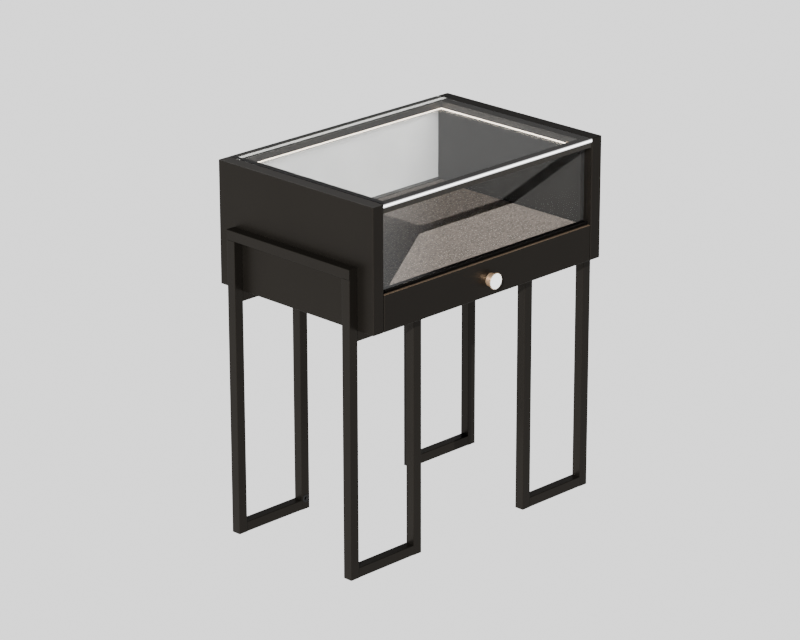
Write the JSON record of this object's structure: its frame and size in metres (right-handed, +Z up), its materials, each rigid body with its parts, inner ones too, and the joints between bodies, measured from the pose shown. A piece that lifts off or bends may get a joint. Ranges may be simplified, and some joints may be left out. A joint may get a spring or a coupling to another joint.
{
  "type": "display table with a drawer",
  "caption": "Glass-topped display case with a lit interior, a drawer and a rear flap, standing on two frames of square tube.",
  "frame": {"origin": "on the floor under the middle of the table's box", "axes": "+Z up, +X along the width, the front with the drawer towards -Y"},
  "size_m": [0.64, 0.4185, 0.722],
  "materials": {
    "bronze_paint": "satin dark bronze powder coat",
    "bronze_profile": "satin dark bronze coat",
    "dark_board": "matte laminated board",
    "suede": "short speckled suede cloth",
    "dark_lining": "matte dark lining",
    "black_aluminium": "black anodised",
    "clear_glass": "clear, ground edges",
    "opal_diffuser": "opal, satin",
    "white_plastic": "moulded",
    "white_board": "satin white laminate",
    "steel": "bright",
    "zinc_steel": "zinc plated",
    "felt": "felt",
    "clear_rubber": "soft, translucent",
    "champagne_metal": "satin champagne anodised",
    "pale_disc": "smooth",
    "black_rubber": "matte",
    "black_plastic": "matte"
  },
  "bodies": {
    "table": {"side_panel_left": "bronze_paint", "side_panel_right": "bronze_paint", "bottom_panel": "dark_board", "back_board": "bronze_paint", "deck_board": "dark_board", "deck_cover": "suede", "lining_left": "dark_lining", "lining_right": "dark_lining", "glass_channel": "black_aluminium", "front_glass": "clear_glass", "top_glass": "clear_glass", "front_rail": "bronze_profile", "rear_rail": "bronze_profile", "side_rail_left": "bronze_profile", "side_rail_right": "bronze_profile", "light_diffuser": "opal_diffuser", "light_driver": "white_plastic", "magnetic_catches": "steel", "hinge_case_leaves": "steel", "runner_outer_left": "zinc_steel", "runner_outer_right": "zinc_steel", "front_post_left": "bronze_paint", "rear_post_left": "bronze_paint", "top_rail_left": "bronze_paint", "front_inner_post_left": "bronze_paint", "rear_inner_post_left": "bronze_paint", "front_foot_bar_left": "bronze_paint", "rear_foot_bar_left": "bronze_paint", "front_top_bar_left": "bronze_paint", "rear_top_bar_left": "bronze_paint", "front_post_right": "bronze_paint", "rear_post_right": "bronze_paint", "top_rail_right": "bronze_paint", "front_inner_post_right": "bronze_paint", "rear_inner_post_right": "bronze_paint", "front_foot_bar_right": "bronze_paint", "rear_foot_bar_right": "bronze_paint", "front_top_bar_right": "bronze_paint", "rear_top_bar_right": "bronze_paint", "cable_grommet": "black_rubber", "foot_glides": "black_plastic", "frame_screws": "steel"},
    "drawer": {"drawer_front": "bronze_paint", "drawer_side_left": "dark_board", "drawer_side_right": "dark_board", "drawer_back": "dark_board", "drawer_bottom": "dark_board", "drawer_felt": "felt", "drawer_bumpers": "clear_rubber", "knob_body": "champagne_metal", "knob_disc": "pale_disc", "knob_screw": "steel", "runner_inner_left": "zinc_steel", "runner_inner_right": "zinc_steel"},
    "runner_slides": {"runner_middle_left": "zinc_steel", "runner_middle_right": "zinc_steel"},
    "flap": {"rear_flap": "white_board", "flap_skin": "bronze_paint", "strike_plates": "steel", "hinge_flap_leaves": "steel"}
  },
  "joints": [
    {"name": "drawer_slide", "type": "slide", "parent": "table", "child": "drawer", "axis": [0, -1, 0], "range_m": [0, 0.28]},
    {"name": "runner_slide", "type": "slide", "parent": "table", "child": "runner_slides", "axis": [0, -1, 0], "range_m": [0, 0.14]},
    {"name": "flap_hinge", "type": "hinge", "parent": "table", "child": "flap", "pos_m": [0, 0.20625, 0.5555], "axis": [-1, 0, 0], "range_deg": [0, 180]}
  ],
  "couplings": [
    {"joint": "runner_slide", "follows": "drawer_slide", "ratio": 0.5}
  ]
}
